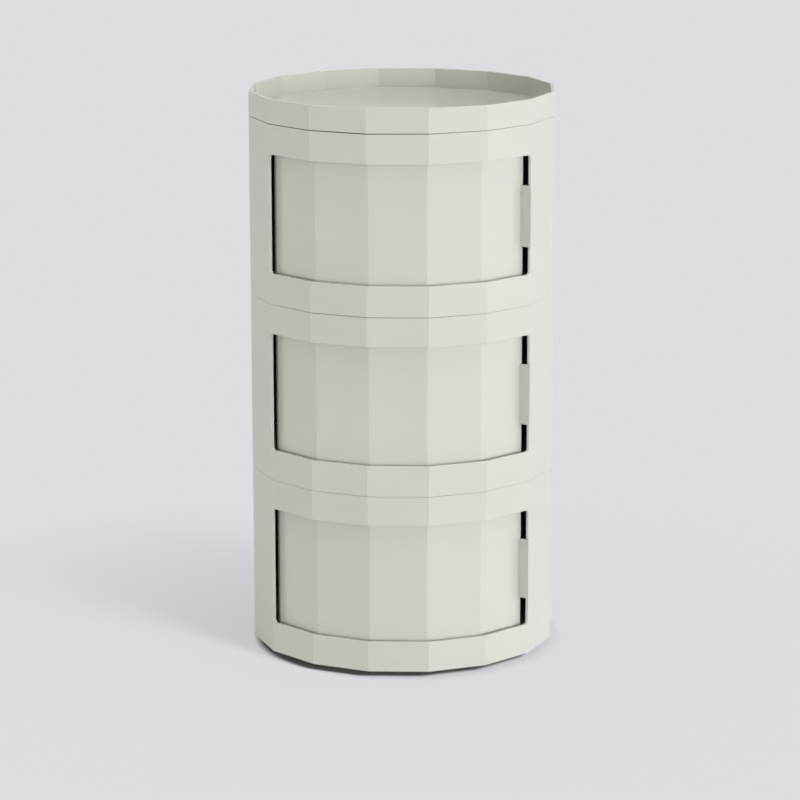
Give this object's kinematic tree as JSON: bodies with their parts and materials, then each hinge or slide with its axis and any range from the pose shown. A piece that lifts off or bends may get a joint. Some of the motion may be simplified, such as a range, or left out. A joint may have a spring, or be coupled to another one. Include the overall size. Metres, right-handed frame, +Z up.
{
  "type": "mobile storage cabinet",
  "caption": "Upright faceted drum cabinet of stacked compartments with curved sliding doors, a shallow lift-off tray on top and castors concealed in its base.",
  "frame": {"origin": "on the floor under the cabinet's upright axis", "axes": "+Z up, front with the doors towards -Y, pull tabs at the +X ends of the doors"},
  "size_m": [0.353, 0.353, 0.6625],
  "materials": {
    "moulding": "satin moulded plastic, warm light grey",
    "nylon": "natural nylon",
    "steel": "zinc-plated steel",
    "tyre": "black castor wheel"
  },
  "bodies": {
    "cabinet": {"shell_lower": "moulding", "shell_middle": "moulding", "shell_upper": "moulding", "base_deck": "moulding", "divider_lower": "moulding", "divider_upper": "moulding", "crown_ring": "moulding", "castor_front_left_plate": "steel", "castor_front_left_screw_left": "steel", "castor_front_left_screw_right": "steel", "castor_front_left_kingpin": "steel", "castor_front_left_washer": "nylon", "castor_front_right_plate": "steel", "castor_front_right_screw_left": "steel", "castor_front_right_screw_right": "steel", "castor_front_right_kingpin": "steel", "castor_front_right_washer": "nylon", "castor_rear_right_plate": "steel", "castor_rear_right_screw_left": "steel", "castor_rear_right_screw_right": "steel", "castor_rear_right_kingpin": "steel", "castor_rear_right_washer": "nylon", "castor_rear_left_plate": "steel", "castor_rear_left_screw_left": "steel", "castor_rear_left_screw_right": "steel", "castor_rear_left_kingpin": "steel", "castor_rear_left_washer": "nylon"},
    "tray": {"tray_top": "moulding"},
    "door_lower_leaf": {"door_lower": "moulding", "door_lower_glide_left": "nylon", "door_lower_glide_right": "nylon", "door_lower_guide_left": "nylon", "door_lower_guide_right": "nylon"},
    "door_middle_leaf": {"door_middle": "moulding", "door_middle_glide_left": "nylon", "door_middle_glide_right": "nylon", "door_middle_guide_left": "nylon", "door_middle_guide_right": "nylon"},
    "door_upper_leaf": {"door_upper": "moulding", "door_upper_glide_left": "nylon", "door_upper_glide_right": "nylon", "door_upper_guide_left": "nylon", "door_upper_guide_right": "nylon"},
    "castor_front_left_fork": {"castor_front_left_yoke": "steel", "castor_front_left_axle": "steel"},
    "castor_front_left_roller": {"castor_front_left_wheel": "tyre"},
    "castor_front_right_fork": {"castor_front_right_yoke": "steel", "castor_front_right_axle": "steel"},
    "castor_front_right_roller": {"castor_front_right_wheel": "tyre"},
    "castor_rear_right_fork": {"castor_rear_right_yoke": "steel", "castor_rear_right_axle": "steel"},
    "castor_rear_right_roller": {"castor_rear_right_wheel": "tyre"},
    "castor_rear_left_fork": {"castor_rear_left_yoke": "steel", "castor_rear_left_axle": "steel"},
    "castor_rear_left_roller": {"castor_rear_left_wheel": "tyre"}
  },
  "joints": [
    {"name": "door_lower_slide", "type": "hinge", "parent": "cabinet", "child": "door_lower_leaf", "pos_m": [0, 0, 0.11303], "axis": [0, 0, -1], "range_deg": [0, 110]},
    {"name": "door_middle_slide", "type": "hinge", "parent": "cabinet", "child": "door_middle_leaf", "pos_m": [0, 0, 0.32153], "axis": [0, 0, -1], "range_deg": [0, 110]},
    {"name": "door_upper_slide", "type": "hinge", "parent": "cabinet", "child": "door_upper_leaf", "pos_m": [0, 0, 0.53002], "axis": [0, 0, -1], "range_deg": [0, 110]},
    {"name": "tray_lift", "type": "slide", "parent": "cabinet", "child": "tray", "axis": [0, 0, 1], "range_m": [0, 0.1]},
    {"name": "castor_front_left_swivel", "type": "hinge", "parent": "cabinet", "child": "castor_front_left_fork", "pos_m": [-0.09562, -0.09562, 0.02643], "axis": [0, 0, 1], "continuous": true},
    {"name": "castor_front_left_roll", "type": "hinge", "parent": "castor_front_left_fork", "child": "castor_front_left_roller", "pos_m": [-0.09562, -0.08662, 0.01192], "axis": [1, 0, 0], "continuous": true},
    {"name": "castor_front_right_swivel", "type": "hinge", "parent": "cabinet", "child": "castor_front_right_fork", "pos_m": [0.09562, -0.09562, 0.02643], "axis": [0, 0, 1], "continuous": true},
    {"name": "castor_front_right_roll", "type": "hinge", "parent": "castor_front_right_fork", "child": "castor_front_right_roller", "pos_m": [0.09562, -0.08662, 0.01192], "axis": [1, 0, 0], "continuous": true},
    {"name": "castor_rear_right_swivel", "type": "hinge", "parent": "cabinet", "child": "castor_rear_right_fork", "pos_m": [0.09562, 0.09562, 0.02643], "axis": [0, 0, 1], "continuous": true},
    {"name": "castor_rear_right_roll", "type": "hinge", "parent": "castor_rear_right_fork", "child": "castor_rear_right_roller", "pos_m": [0.09562, 0.10462, 0.01192], "axis": [1, 0, 0], "continuous": true},
    {"name": "castor_rear_left_swivel", "type": "hinge", "parent": "cabinet", "child": "castor_rear_left_fork", "pos_m": [-0.09562, 0.09562, 0.02643], "axis": [0, 0, 1], "continuous": true},
    {"name": "castor_rear_left_roll", "type": "hinge", "parent": "castor_rear_left_fork", "child": "castor_rear_left_roller", "pos_m": [-0.09562, 0.10462, 0.01192], "axis": [1, 0, 0], "continuous": true}
  ]
}
